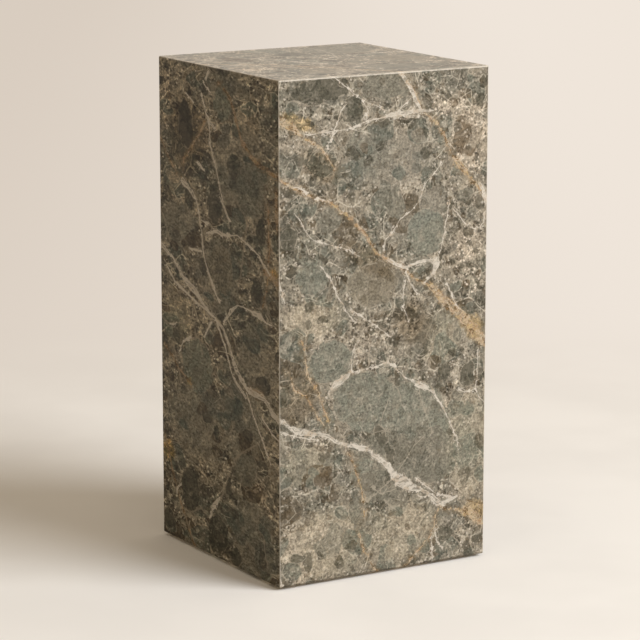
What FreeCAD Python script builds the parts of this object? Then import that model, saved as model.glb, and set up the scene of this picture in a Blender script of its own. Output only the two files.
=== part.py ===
import FreeCAD, Part

# A square stone-clad pedestal column. Five mitred marble slabs are bonded to a
# softwood frame, which stands on four screw-adjusted levelling feet.
# Millimetres, +Z up. The origin lies on the floor under the column's centre.
# The front slab faces -Y, the right slab faces +X.

import os

import Sketcher

SIZES = {
    # stone casing
    "column_width": 360,
    "column_height": 750,
    "slab_thickness": 20,
    "arris_radius": 2.5,
    "foot_edge_radius": 4,
    "mitre_gap": 0.4,
    "floor_gap": 3,
    # softwood and plywood frame
    "adhesive_gap": 3,
    "post_width": 40,
    "timber_easing": 2,
    "base_board_thickness": 18,
    "top_board_thickness": 18,
    "rail_thickness": 30,
    "rail_height": 60,
    # adhesive ribbons
    "ribbon_width": 24,
    "ribbon_end_margin": 12,
    # countersunk wood screws
    "screw_head_diameter": 8,
    "screw_shank_diameter": 4,
    "screw_tip_length": 5,
    "screw_bite": 32,
    "screw_pair_offset": 9,
    "rail_screw_near": 8,
    "rail_screw_far": 20,
    # tee nuts
    "tee_flange_diameter": 22,
    "tee_flange_thickness": 1.5,
    "tee_barrel_diameter": 10,
    "tee_barrel_length": 12,
    "tee_hole_clearance": 0.2,
    "prong_radius": 8,
    "prong_width": 3,
    "prong_thickness": 1.2,
    "prong_length": 7,
    # levelling feet
    "foot_travel": 8,
    "stem_diameter": 8,
    "stem_head_diameter": 12,
    "stem_head_height": 2,
    "stem_spare_length": 5.5,
    "stem_chamfer": 1,
    "stem_post_gap": 13,
    "disc_diameter": 40,
    "disc_height": 6.2,
    "disc_rim_height": 2,
    "disc_floor": 1.2,
    "hub_wall": 2.2,
    "hub_rise": 1,
    "sole_thickness": 3,
    "sole_chamfer": 0.5,
    # running fits
    "bore_clearance": 0.1,
    "seat_clearance": 0.3,
}

# Places worked out from the sizes above, as expressions for the sheet.
STONE_HALF = "(Sizes.column_width / 2)"
CAVITY_HALF = "(Sizes.column_width / 2 - Sizes.slab_thickness)"
FRAME_HALF = "(Sizes.column_width / 2 - Sizes.slab_thickness - Sizes.adhesive_gap)"
MITRE_SETBACK = "(Sizes.mitre_gap / sqrt(2))"
CAVITY_TOP = "(Sizes.column_height - Sizes.slab_thickness)"
DISC_TOP = "(Sizes.sole_thickness + Sizes.disc_height)"
BOARD_BOTTOM = f"({DISC_TOP} + Sizes.seat_clearance + Sizes.tee_flange_thickness)"
BOARD_TOP = f"({BOARD_BOTTOM} + Sizes.base_board_thickness)"
FRAME_TOP = f"({CAVITY_TOP} - Sizes.adhesive_gap)"
POST_TOP = f"({FRAME_TOP} - Sizes.top_board_thickness)"
POST_CENTRE = f"({FRAME_HALF} - Sizes.post_width / 2)"
RAIL_HALF = f"({FRAME_HALF} - Sizes.post_width)"
RAIL_MIDDLE = f"(({BOARD_TOP} + {POST_TOP}) / 2)"
FOOT_CENTRE = f"({RAIL_HALF} - Sizes.stem_post_gap - Sizes.stem_diameter / 2)"
SOCKET_FLOOR = "(Sizes.sole_thickness + Sizes.disc_floor)"
STEM_BOTTOM = f"({SOCKET_FLOOR} + Sizes.seat_clearance)"
STEM_SHOULDER = f"({STEM_BOTTOM} + Sizes.stem_head_height)"
SOCKET_TOP = f"({STEM_SHOULDER} + Sizes.seat_clearance)"
SOCKET_RADIUS = "(Sizes.stem_head_diameter / 2 + Sizes.seat_clearance)"
BORE_RADIUS = "(Sizes.stem_diameter / 2 + Sizes.bore_clearance)"
BARREL_TOP = f"({BOARD_BOTTOM} + Sizes.tee_barrel_length)"
STEM_TOP = f"({BARREL_TOP} + Sizes.foot_travel + Sizes.stem_spare_length)"

# Each side of the column is the front one turned about Z by this many degrees.
SIDES = {"front": 0, "right": 90, "back": 180, "left": 270}
CORNERS = {
    "front_left": (-1, -1),
    "front_right": (1, -1),
    "back_right": (1, 1),
    "back_left": (-1, 1),
}
Z_AXIS = FreeCAD.Vector(0, 0, 1)
X_AXIS = FreeCAD.Vector(1, 0, 0)
ORIGIN = FreeCAD.Vector(0, 0, 0)

doc = FreeCAD.newDocument("PedestalColumn")


def fill_sheet():
    """Put every driving dimension in the sheet under its own alias."""
    sheet = doc.addObject("Spreadsheet::Sheet", "Sizes")
    for row, (name, value) in enumerate(SIZES.items(), start=1):
        sheet.set(f"A{row}", name)
        sheet.set(f"B{row}", str(value))
        sheet.setAlias(f"B{row}", name)
    doc.recompute()
    return sheet


SHEET = fill_sheet()


def bind(obj, **expressions):
    """Bind properties to expressions; a double underscore stands for a dot."""
    for name, expression in expressions.items():
        obj.setExpression(name.replace("__", "."), expression)


def turned(angle, axis=Z_AXIS):
    return FreeCAD.Placement(ORIGIN, FreeCAD.Rotation(axis, angle))


def new_body(label):
    body = doc.addObject("PartDesign::Body", label)
    body.Label = label
    return body


def origin_feature(body, role):
    return next(item for item in body.Origin.OriginFeatures if item.Role == role)


def new_sketch(body, plane, name, x="0", y="0", z="0", angle=0):
    """A sketch on an origin plane, moved by x, y, z and turned in that plane."""
    sketch = body.newObject("Sketcher::SketchObject", name)
    sketch.AttachmentSupport = (origin_feature(body, plane), [""])
    sketch.MapMode = "FlatFace"
    sketch.AttachmentOffset = turned(angle)
    bind(sketch, AttachmentOffset__Base__x=x, AttachmentOffset__Base__y=y,
         AttachmentOffset__Base__z=z)
    return sketch


def pin_coordinate(sketch, line, axis, expression):
    """Fix the start of a line at a distance from the sketch's origin."""
    if expression == "0":
        other_axis = {"X": -2, "Y": -1}[axis]
        sketch.addConstraint(Sketcher.Constraint("PointOnObject", line, 1, other_axis))
        return
    value = float(SHEET.evalExpression(expression))
    constraint = Sketcher.Constraint(f"Distance{axis}", -1, 1, line, 1, value)
    index = sketch.addConstraint(constraint)
    name = f"{axis.lower()}{line}"
    sketch.renameConstraint(index, name)
    sketch.setExpression(f"Constraints.{name}", expression)


def draw_outline(sketch, corners):
    """A closed outline of straight lines; each corner is an (x, y) expression."""
    first = sketch.GeometryCount
    points = []
    for x, y in corners:
        points.append(FreeCAD.Vector(SHEET.evalExpression(x), SHEET.evalExpression(y), 0))
    for index, point in enumerate(points):
        end = points[(index + 1) % len(points)]
        sketch.addGeometry(Part.LineSegment(point, end), False)
    for index, (x, y) in enumerate(corners):
        line = first + index
        next_line = first + (index + 1) % len(corners)
        sketch.addConstraint(Sketcher.Constraint("Coincident", line, 2, next_line, 1))
        pin_coordinate(sketch, line, "X", x)
        pin_coordinate(sketch, line, "Y", y)


def draw_rectangle(sketch, x, y, half_x, half_y):
    """A rectangle about the point x, y, given by its half sizes."""
    left, right = f"{x} - {half_x}", f"{x} + {half_x}"
    low, high = f"{y} - {half_y}", f"{y} + {half_y}"
    draw_outline(sketch, [(left, low), (right, low), (right, high), (left, high)])


def add_pad(body, sketch, name, length):
    pad = body.newObject("PartDesign::Pad", name)
    pad.Profile = sketch
    bind(pad, Length=length)
    sketch.Visibility = False
    return pad


def add_revolution(body, sketch, name):
    """A full turn about the sketch's own vertical axis."""
    turn = body.newObject("PartDesign::Revolution", name)
    turn.Profile = sketch
    turn.ReferenceAxis = (sketch, ["V_Axis"])
    turn.Angle = 360
    sketch.Visibility = False
    return turn


def add_fillet(body, base, name, radius, is_wanted):
    """Round those edges of the base whose middle point is wanted."""
    doc.recompute()
    edges = []
    for index, edge in enumerate(base.Shape.Edges, start=1):
        if is_wanted(edge):
            edges.append(f"Edge{index}")
    fillet = body.newObject("PartDesign::Fillet", name)
    fillet.Base = (base, edges)
    bind(fillet, Radius=radius)
    return fillet


def repeat_at_corners(body, features):
    """Copy features to the column's four corners, a quarter turn apart."""
    pattern = body.newObject("PartDesign::PolarPattern", f"{body.Name}_corners")
    pattern.Originals = features
    pattern.Axis = (origin_feature(body, "Z_Axis"), [""])
    pattern.Angle = 360
    pattern.Occurrences = len(CORNERS)
    body.Tip = pattern


def is_vertical(edge):
    return edge.BoundBox.ZLength > max(edge.BoundBox.XLength, edge.BoundBox.YLength)


def is_level_at(edge, height):
    return abs(edge.BoundBox.ZMin - height) < 1e-6 and abs(edge.BoundBox.ZMax - height) < 1e-6


def combine(kind, label, base, tool):
    """A two-piece boolean: kind is Cut or Common."""
    result = doc.addObject(f"Part::{kind}", label)
    result.Label = label
    result.Base = base
    result.Tool = tool
    return result


def group(label, members):
    compound = doc.addObject("Part::Compound", label)
    compound.Label = label
    compound.Links = members
    return compound


# ---------------------------------------------------------------- stone casing

def square_block(label, half, bottom, top):
    """A square block about the column's axis; returns its body and its pad."""
    body = new_body(label)
    plan = new_sketch(body, "XY_Plane", f"{label}_plan", z=bottom)
    draw_rectangle(plan, "0", "0", half, half)
    pad = add_pad(body, plan, f"{label}_pad", f"{top} - {bottom}")
    return body, pad


def stone_envelope():
    """The column's outer form: eased upright and top arrises, rounder foot edges."""
    upper, upper_pad = square_block("eased_block", STONE_HALF, "Sizes.floor_gap",
                                    "Sizes.column_height")
    bottom = SIZES["floor_gap"]
    add_fillet(upper, upper_pad, "arris_fillet", "Sizes.arris_radius",
               lambda edge: not is_level_at(edge, bottom))
    lower, lower_pad = square_block("foot_block", STONE_HALF, "Sizes.floor_gap",
                                    "Sizes.column_height")
    add_fillet(lower, lower_pad, "foot_fillet", "Sizes.foot_edge_radius",
               lambda edge: is_level_at(edge, bottom))
    return combine("Common", "stone_envelope", upper, lower)


def side_wedge(side, angle):
    """The stone between one side's four mitre planes, before its arrises are eased."""
    wedge = doc.addObject("Part::Wedge", f"{side}_wedge")
    outer = f"{STONE_HALF} - {MITRE_SETBACK}"
    inner = f"{CAVITY_HALF} - {MITRE_SETBACK}"
    bind(wedge, Ymin=f"-{STONE_HALF}", Xmin=f"-({outer})", Xmax=outer,
         Zmin="Sizes.floor_gap", Zmax=f"Sizes.column_height - {MITRE_SETBACK}",
         Ymax=f"-{CAVITY_HALF}", X2min=f"-({inner})", X2max=inner,
         Z2min="Sizes.floor_gap", Z2max=f"{CAVITY_TOP} - {MITRE_SETBACK}")
    wedge.Placement = turned(angle)
    return wedge


def top_wedge():
    """The top slab's blank, mitred on its four sides; its own Y axis points up."""
    wedge = doc.addObject("Part::Wedge", "top_wedge")
    outer = f"{STONE_HALF} - {MITRE_SETBACK}"
    inner = f"{CAVITY_HALF} - {MITRE_SETBACK}"
    bind(wedge, Ymin=CAVITY_TOP, Xmin=f"-({inner})", Xmax=inner,
         Zmin=f"-({inner})", Zmax=inner,
         Ymax="Sizes.column_height", X2min=f"-({outer})", X2max=outer,
         Z2min=f"-({outer})", Z2max=outer)
    wedge.Placement = turned(90, X_AXIS)
    return wedge


def stone_casing():
    """Five slabs, and the resin web that fills the mitres between them."""
    envelope = stone_envelope()
    slabs = []
    for side, angle in SIDES.items():
        slabs.append(combine("Common", f"{side}_slab", envelope, side_wedge(side, angle)))
    slabs.append(combine("Common", "top_slab", envelope, top_wedge()))
    cavity, _ = square_block("cavity", CAVITY_HALF, "0", CAVITY_TOP)
    shell = combine("Cut", "stone_shell", envelope, cavity)
    resin = combine("Cut", "mitre_resin", shell, group("slabs", slabs))
    return slabs + [resin]


# ------------------------------------------------------------------- fasteners

def add_screw(body, name, x, y, z, angle):
    """One countersunk screw, its head's face at x, y, z.

    The angle turns its point from up (0) to -X (90) or down (180)."""
    profile = new_sketch(body, "XZ_Plane", f"{name}_profile", x=x, y=z, z=f"-({y})", angle=angle)
    head = "Sizes.screw_head_diameter / 2"
    shank = "Sizes.screw_shank_diameter / 2"
    neck = f"{head} - {shank}"
    through = {0: "Sizes.base_board_thickness", 180: "Sizes.top_board_thickness",
               90: "Sizes.post_width"}[angle]
    length = f"{through} + Sizes.screw_bite"
    draw_outline(profile, [("0", "0"), (head, "0"), (shank, neck),
                           (shank, f"{length} - Sizes.screw_tip_length"), ("0", length)])
    return add_revolution(body, profile, name)


def board_screws(label, height, angle):
    """Two screws into each post's end, spread across the post's diagonal."""
    body = new_body(label)
    outer = f"{POST_CENTRE} + Sizes.screw_pair_offset"
    inner = f"{POST_CENTRE} - Sizes.screw_pair_offset"
    first = add_screw(body, f"{label}_a", outer, inner, height, angle)
    second = add_screw(body, f"{label}_b", inner, outer, height, angle)
    repeat_at_corners(body, [first, second])
    return body


def rail_screws():
    """Two screws through a post into each rail end; the pairs pass one another."""
    body = new_body("rail_screws")
    line = f"({FRAME_HALF} - Sizes.rail_thickness / 2)"
    heights = {
        "right_low": (f"-{line}", f"{RAIL_MIDDLE} - Sizes.rail_screw_near"),
        "right_high": (f"-{line}", f"{RAIL_MIDDLE} + Sizes.rail_screw_far"),
        "left_low": (line, f"{RAIL_MIDDLE} - Sizes.rail_screw_far"),
        "left_high": (line, f"{RAIL_MIDDLE} + Sizes.rail_screw_near"),
    }
    screws = []
    for name, (y, z) in heights.items():
        screws.append(add_screw(body, f"rail_{name}", FRAME_HALF, y, z, 90))
    repeat_at_corners(body, screws)
    return body


def tee_nuts():
    """A pronged tee nut over each foot, its flange under the base board."""
    body = new_body("tee_nuts")
    profile = new_sketch(body, "XZ_Plane", "tee_profile", x=FOOT_CENTRE, y=BOARD_BOTTOM,
                         z=f"-{FOOT_CENTRE}")
    flange = "Sizes.tee_flange_diameter / 2"
    barrel = "Sizes.tee_barrel_diameter / 2"
    under = "-Sizes.tee_flange_thickness"
    draw_outline(profile, [(BORE_RADIUS, under), (flange, under), (flange, "0"), (barrel, "0"),
                           (barrel, "Sizes.tee_barrel_length"),
                           (BORE_RADIUS, "Sizes.tee_barrel_length")])
    nut = add_revolution(body, profile, "tee_nut")
    plan = new_sketch(body, "XY_Plane", "prong_plan", x=FOOT_CENTRE, y=FOOT_CENTRE,
                      z=BOARD_BOTTOM)
    across, along = "Sizes.prong_thickness / 2", "Sizes.prong_width / 2"
    draw_rectangle(plan, "Sizes.prong_radius", "0", across, along)
    draw_rectangle(plan, "-Sizes.prong_radius", "0", across, along)
    draw_rectangle(plan, "0", "Sizes.prong_radius", along, across)
    draw_rectangle(plan, "0", "-Sizes.prong_radius", along, across)
    prongs = add_pad(body, plan, "prongs", "Sizes.prong_length")
    repeat_at_corners(body, [nut, prongs])
    return body


# ---------------------------------------------------------------- timber frame

def base_board_blank():
    """The plywood base, bored through over each foot for its tee nut."""
    body, _ = square_block("base_board_blank", FRAME_HALF, BOARD_BOTTOM, BOARD_TOP)
    plan = new_sketch(body, "XY_Plane", "tee_hole_plan", x=FOOT_CENTRE, y=FOOT_CENTRE,
                      z=BOARD_BOTTOM)
    radius = "Sizes.tee_barrel_diameter / 2 + Sizes.tee_hole_clearance"
    circle = Part.Circle(ORIGIN, Z_AXIS, float(SHEET.evalExpression(radius)))
    plan.addGeometry(circle, False)
    plan.addConstraint(Sketcher.Constraint("Coincident", 0, 3, -1, 1))
    index = plan.addConstraint(Sketcher.Constraint("Radius", 0, circle.Radius))
    plan.renameConstraint(index, "radius")
    plan.setExpression("Constraints.radius", radius)
    hole = body.newObject("PartDesign::Pocket", "tee_hole")
    hole.Profile = plan
    hole.Reversed = True
    bind(hole, Length="Sizes.base_board_thickness")
    plan.Visibility = False
    repeat_at_corners(body, [hole])
    return body


def corner_post_blank(label, x_sign, y_sign):
    """A square post with its long edges eased, standing on the base board."""
    body = new_body(label)
    plan = new_sketch(body, "XY_Plane", f"{label}_plan")
    half = "Sizes.post_width / 2"
    draw_rectangle(plan, "0", "0", half, half)
    pad = add_pad(body, plan, f"{label}_pad", f"{POST_TOP} - {BOARD_TOP}")
    add_fillet(body, pad, f"{label}_easing", "Sizes.timber_easing", is_vertical)
    bind(body, Placement__Base__x=f"{x_sign} * {POST_CENTRE}",
         Placement__Base__y=f"{y_sign} * {POST_CENTRE}", Placement__Base__z=BOARD_TOP)
    return body


def rail_blank(label, angle):
    """A rail between two posts, flush with their outer faces."""
    body = new_body(label)
    section = new_sketch(body, "YZ_Plane", f"{label}_section", z=f"-{RAIL_HALF}")
    draw_rectangle(section, f"-{FRAME_HALF} + Sizes.rail_thickness / 2", RAIL_MIDDLE,
                   "Sizes.rail_thickness / 2", "Sizes.rail_height / 2")
    pad = add_pad(body, section, f"{label}_pad", f"2 * {RAIL_HALF}")
    add_fillet(body, pad, f"{label}_easing", "Sizes.timber_easing",
               lambda edge: edge.BoundBox.XLength > edge.BoundBox.ZLength + edge.BoundBox.YLength)
    body.Placement = turned(angle)
    return body


def timber_frame(fasteners):
    """Boards, posts and rails, each drilled by the fasteners that bite into it."""
    blanks = {"base_board": base_board_blank()}
    blanks["top_board"], _ = square_block("top_board_blank", FRAME_HALF, POST_TOP, FRAME_TOP)
    for corner, (x_sign, y_sign) in CORNERS.items():
        name = f"{corner}_post"
        blanks[name] = corner_post_blank(f"{name}_blank", x_sign, y_sign)
    for side, angle in SIDES.items():
        name = f"{side}_rail"
        blanks[name] = rail_blank(f"{name}_blank", angle)
    return [combine("Cut", name, blank, fasteners) for name, blank in blanks.items()]


# -------------------------------------------------------------------- adhesive

def side_adhesive(side, angle):
    """Two upright ribbons on the posts and one along the rail, behind one slab."""
    body = new_body(f"{side}_adhesive")
    plan = new_sketch(body, "XZ_Plane", f"{side}_ribbon_plan", z=FRAME_HALF)
    half_width = "Sizes.ribbon_width / 2"
    middle = f"({BOARD_BOTTOM} + {FRAME_TOP}) / 2"
    half_height = f"(({FRAME_TOP} - {BOARD_BOTTOM}) / 2 - Sizes.ribbon_end_margin)"
    draw_rectangle(plan, POST_CENTRE, middle, half_width, half_height)
    draw_rectangle(plan, f"-{POST_CENTRE}", middle, half_width, half_height)
    draw_rectangle(plan, "0", RAIL_MIDDLE, f"({RAIL_HALF} - Sizes.ribbon_end_margin)", half_width)
    add_pad(body, plan, f"{side}_ribbons", "Sizes.adhesive_gap")
    body.Placement = turned(angle)
    return body


def top_adhesive():
    """Four ribbons between the top board and the top slab."""
    body = new_body("top_adhesive")
    plan = new_sketch(body, "XY_Plane", "top_ribbon_plan", z=FRAME_TOP)
    half_length = f"({FRAME_HALF} - Sizes.ribbon_end_margin)"
    for share in ("-1", "-1 / 3", "1 / 3", "1"):
        draw_rectangle(plan, "0", f"{share} * {POST_CENTRE}", half_length,
                       "Sizes.ribbon_width / 2")
    add_pad(body, plan, "top_ribbons", "Sizes.adhesive_gap")
    return body


# ------------------------------------------------------------- levelling feet

def foot_piece(label, x_sign, y_sign, outline):
    """A turned piece of one foot, drawn from the foot's axis outwards."""
    body = new_body(label)
    profile = new_sketch(body, "XZ_Plane", f"{label}_profile")
    draw_outline(profile, outline)
    add_revolution(body, profile, f"{label}_turning")
    bind(body, Placement__Base__x=f"{x_sign} * {FOOT_CENTRE}",
         Placement__Base__y=f"{y_sign} * {FOOT_CENTRE}")
    return body


def foot_sole(corner, x_sign, y_sign):
    """The rubber pad that rests on the floor."""
    radius = "Sizes.disc_diameter / 2"
    outline = [("0", "0"), (f"{radius} - Sizes.sole_chamfer", "0"),
               (radius, "Sizes.sole_chamfer"), (radius, "Sizes.sole_thickness"),
               ("0", "Sizes.sole_thickness")]
    return foot_piece(f"{corner}_foot_sole", x_sign, y_sign, outline)


def foot_disc(corner, x_sign, y_sign):
    """The foot's disc, whose hub traps the stem's head with room to swivel."""
    radius = "Sizes.disc_diameter / 2"
    hub = f"{SOCKET_RADIUS} + Sizes.hub_wall"
    rim = "Sizes.sole_thickness + Sizes.disc_rim_height"
    outline = [("0", "Sizes.sole_thickness"), (radius, "Sizes.sole_thickness"), (radius, rim),
               (hub, f"{DISC_TOP} - Sizes.hub_rise"), (hub, DISC_TOP), (BORE_RADIUS, DISC_TOP),
               (BORE_RADIUS, SOCKET_TOP), (SOCKET_RADIUS, SOCKET_TOP),
               (SOCKET_RADIUS, SOCKET_FLOOR), ("0", SOCKET_FLOOR)]
    return foot_piece(f"{corner}_foot_disc", x_sign, y_sign, outline)


def foot_stem(corner, x_sign, y_sign):
    """The threaded stem that runs in the tee nut, drawn at its thread's crest."""
    radius = "Sizes.stem_diameter / 2"
    head = "Sizes.stem_head_diameter / 2"
    outline = [("0", STEM_BOTTOM), (head, STEM_BOTTOM), (head, STEM_SHOULDER),
               (radius, STEM_SHOULDER), (radius, f"{STEM_TOP} - Sizes.stem_chamfer"),
               (f"{radius} - Sizes.stem_chamfer", STEM_TOP), ("0", STEM_TOP)]
    return foot_piece(f"{corner}_foot_stem", x_sign, y_sign, outline)


def levelling_feet():
    pieces = []
    for corner, signs in CORNERS.items():
        pieces.append(foot_sole(corner, *signs))
        pieces.append(foot_disc(corner, *signs))
        pieces.append(foot_stem(corner, *signs))
    return pieces


# -------------------------------------------------------------------- assembly

def check(pieces):
    """Stop before anything is written if any object failed to build."""
    for item in doc.Objects:
        if "Invalid" in item.State or "Error" in item.State:
            raise RuntimeError(f"{item.Label} did not build: {item.State}")
    for piece in pieces:
        if piece.Shape.isNull() or not piece.Shape.isValid() or not piece.Shape.Solids:
            raise RuntimeError(f"{piece.Label} has no valid solid")


def build():
    casing = stone_casing()
    hardware = [
        board_screws("base_board_screws", BOARD_BOTTOM, 0),
        board_screws("top_board_screws", FRAME_TOP, 180),
        rail_screws(),
        tee_nuts(),
    ]
    frame = timber_frame(group("fasteners", hardware))
    adhesive = [side_adhesive(side, angle) for side, angle in SIDES.items()]
    adhesive.append(top_adhesive())
    pieces = casing + hardware + frame + adhesive + levelling_feet()
    doc.recompute()
    check(pieces)
    os.makedirs("parts", exist_ok=True)
    for piece in pieces:
        piece.Shape.exportStep(f"parts/{piece.Label}.step")
    return pieces


build()
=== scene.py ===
import math

import bpy
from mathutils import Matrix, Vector

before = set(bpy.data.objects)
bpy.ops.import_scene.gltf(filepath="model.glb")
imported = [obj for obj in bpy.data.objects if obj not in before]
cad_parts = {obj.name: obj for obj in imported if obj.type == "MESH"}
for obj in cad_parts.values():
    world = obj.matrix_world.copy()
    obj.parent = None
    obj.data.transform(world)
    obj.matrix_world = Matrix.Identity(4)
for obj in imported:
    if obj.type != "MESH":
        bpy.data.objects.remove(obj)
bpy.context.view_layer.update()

# The column's size in millimetres. The stone materials work in millimetres on each face.
WIDTH = 360
HEIGHT = 750
HALF = WIDTH / 2
MM_PER_M = 1000

# The camera: no shift, at the height and distance that the column's own edges give.
LENS = 165.05
SENSOR_WIDTH = 36
CLIP_END = 60
CAMERA_PLACE = (-2.2567, -3.7442, 1.2547)
CAMERA_YAW = math.radians(31.05)
CAMERA_PITCH = math.radians(11.642)

# The key light stands to the right of the camera. Its height and size give the shadow's edges.
KEY_BEARING = Vector((0.53, -0.85, 0)).normalized()
KEY_ELEVATION = math.radians(33)
KEY_DISTANCE = 8.0
KEY_SIZE = 5.8
KEY_WATTS = 710
KEY_COLOUR = (0.955, 0.975, 1.0)

# The fill light is the room's, stronger from overhead. Light from below shows the base.
FILL_COLOUR = (1.0, 0.85, 0.66, 1.0)
FILL_AT_HORIZON = 0.06
FILL_OVERHEAD = 0.66
FILL_BELOW = 0.5

# The floor is a disc. From FLOOR_ENDS to BACKDROP_STARTS from the column it turns into the
# backdrop, which runs from its darker left tone to its right tone over BACKDROP_SPAN. This is
# painted shade, darker away from the key light on the right.
FLOOR_RADIUS = 14
FLOOR_DROP = 0.0005
FLOOR_SIDES = 96
FLOOR_ENDS = 0.85
BACKDROP_STARTS = 1.9
BACKDROP_SPAN = (-1.3, 0.9)


def srgb(red, green, blue):
    """The linear colour, with alpha, of an sRGB colour given as 0 to 255."""
    def linear(level):
        level /= 255
        return level / 12.92 if level <= 0.04045 else ((level + 0.055) / 1.055) ** 2.4
    return (linear(red), linear(green), linear(blue), 1.0)


# ---------------------------------------------------------------- node helpers

class Tree:
    """A node tree, with one short call for each kind of node that the materials use."""

    def __init__(self, tree, dimensions="3D"):
        self.tree = tree
        self.dimensions = dimensions
        tree.nodes.clear()

    def node(self, kind, inputs=None, **settings):
        node = self.tree.nodes.new(kind)
        for name, value in settings.items():
            setattr(node, name, value)
        for key, value in (inputs or {}).items():
            self.feed(node.inputs[key], value)
        return node

    def feed(self, socket, value):
        if isinstance(value, bpy.types.NodeSocket):
            self.tree.links.new(value, socket)
        else:
            socket.default_value = value

    def place(self):
        """The point on the object. The CAD nodes lie at the origin, so it is the point's place."""
        return self.node("ShaderNodeTexCoord").outputs["Object"]

    def axes(self, vector):
        return self.node("ShaderNodeSeparateXYZ", {0: vector}).outputs

    def channels(self, colour):
        return self.node("ShaderNodeSeparateColor", {0: colour}).outputs

    def math(self, operation, *values):
        node = self.node("ShaderNodeMath", operation=operation)
        for socket, value in zip(node.inputs, values):
            self.feed(socket, value)
        return node.outputs[0]

    def times(self, a, b):
        return self.math("MULTIPLY", a, b)

    def larger(self, a, b):
        return self.math("MAXIMUM", a, b)

    def slope(self, value, steepness, start):
        """value * steepness + start."""
        return self.math("MULTIPLY_ADD", value, steepness, start)

    def vector(self, operation, *values):
        node = self.node("ShaderNodeVectorMath", operation=operation)
        for socket, value in zip(node.inputs, values):
            self.feed(socket, value)
        return node.outputs["Value" if operation in ("LENGTH", "DOT_PRODUCT") else "Vector"]

    def mix(self, factor, a, b, blend="MIX"):
        node = self.node("ShaderNodeMix", data_type="RGBA", blend_type=blend)
        for index, value in ((0, factor), (6, a), (7, b)):
            self.feed(node.inputs[index], value)
        return node.outputs[2]

    def smooth(self, value, low, high, start=0.0, end=1.0, step="SMOOTHSTEP"):
        """start where value is at low, end where it is at high, with a smooth step between."""
        return self.node("ShaderNodeMapRange", {0: value, 1: low, 2: high, 3: start, 4: end},
                         interpolation_type=step).outputs[0]

    def straight(self, value, low, high, start, end):
        """As smooth, with a straight step."""
        return self.smooth(value, low, high, start, end, "LINEAR")

    def noise(self, place, size, detail=2.0, roughness=0.5, output="Fac"):
        """Noise whose blobs are about size across, in place's own unit."""
        return self.node(
            "ShaderNodeTexNoise",
            {"Vector": place, "Scale": 1 / size, "Detail": detail, "Roughness": roughness},
            noise_dimensions=self.dimensions,
        ).outputs[output]

    def colours(self, place, size, detail=2.0, roughness=0.5):
        """As noise, with three channels that change apart from each other."""
        return self.noise(place, size, detail, roughness, "Color")

    def shift(self, place, colours, reach):
        """place moved by noise colours, up to about reach each way."""
        moved = self.vector("MULTIPLY_ADD", colours, (2 * reach,) * 3, place)
        return self.vector("SUBTRACT", moved, (reach,) * 3)

    def cells(self, place, size, feature="F1"):
        """Voronoi cells about size across."""
        return self.node("ShaderNodeTexVoronoi", {"Vector": place, "Scale": 1 / size},
                         voronoi_dimensions="2D", feature=feature).outputs

    def ramp(self, value, *stops, steps=False):
        """A ramp through (position, sRGB colour) stops, in flat steps or blended."""
        node = self.node("ShaderNodeValToRGB", {0: value})
        line = node.color_ramp
        if steps:
            line.interpolation = "CONSTANT"
        while len(line.elements) < len(stops):
            line.elements.new(1.0)
        for element, (position, colour) in zip(line.elements, stops):
            element.position = position
            element.color = srgb(*colour)
        return node.outputs[0]

    def curve(self, value, points):
        """A float curve, straight between points, which run from x = 0 to x = 1."""
        node = self.node("ShaderNodeFloatCurve", {1: value})
        line = node.mapping.curves[0]
        line.points[0].location = points[0]
        line.points[1].location = points[-1]
        for x, y in points[1:-1]:
            line.points.new(x, y)
        for point in line.points:
            point.handle_type = "VECTOR"
        node.mapping.update()
        return node.outputs[0]

    def finish(self, colour, grain, roughness, depth, **constants):
        """The surface shader and the output. grain takes the roughness from the first value to
        the second and stands up by depth. constants are set on the shader's own sockets."""
        bump = self.node("ShaderNodeBump", {"Height": grain, "Distance": depth, "Strength": 1.0})
        shader = self.node("ShaderNodeBsdfPrincipled", {
            "Base Color": colour, "Roughness": self.straight(grain, 0.3, 0.7, *roughness),
            "Normal": bump.outputs[0], **constants})
        self.node("ShaderNodeOutputMaterial", {"Surface": shader.outputs[0]})


def make_material(name, fill, *settings, dimensions="3D"):
    """A material whose node tree the function fill makes from these settings."""
    material = bpy.data.materials.new(name)
    material.use_nodes = True
    fill(Tree(material.node_tree, dimensions), *settings)
    return material


def dress(node_names, material):
    """Gives the material to every slot of these CAD nodes."""
    for name in node_names:
        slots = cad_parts[name].data.materials
        slots.clear()
        slots.append(material)


# ---------------------------------------------------------------- the stone's pattern
#
# Each face is seen from outside: the first number is the distance from its left edge and the
# second the height above the floor, in millimetres. A third number is the vein's own width there.

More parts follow.
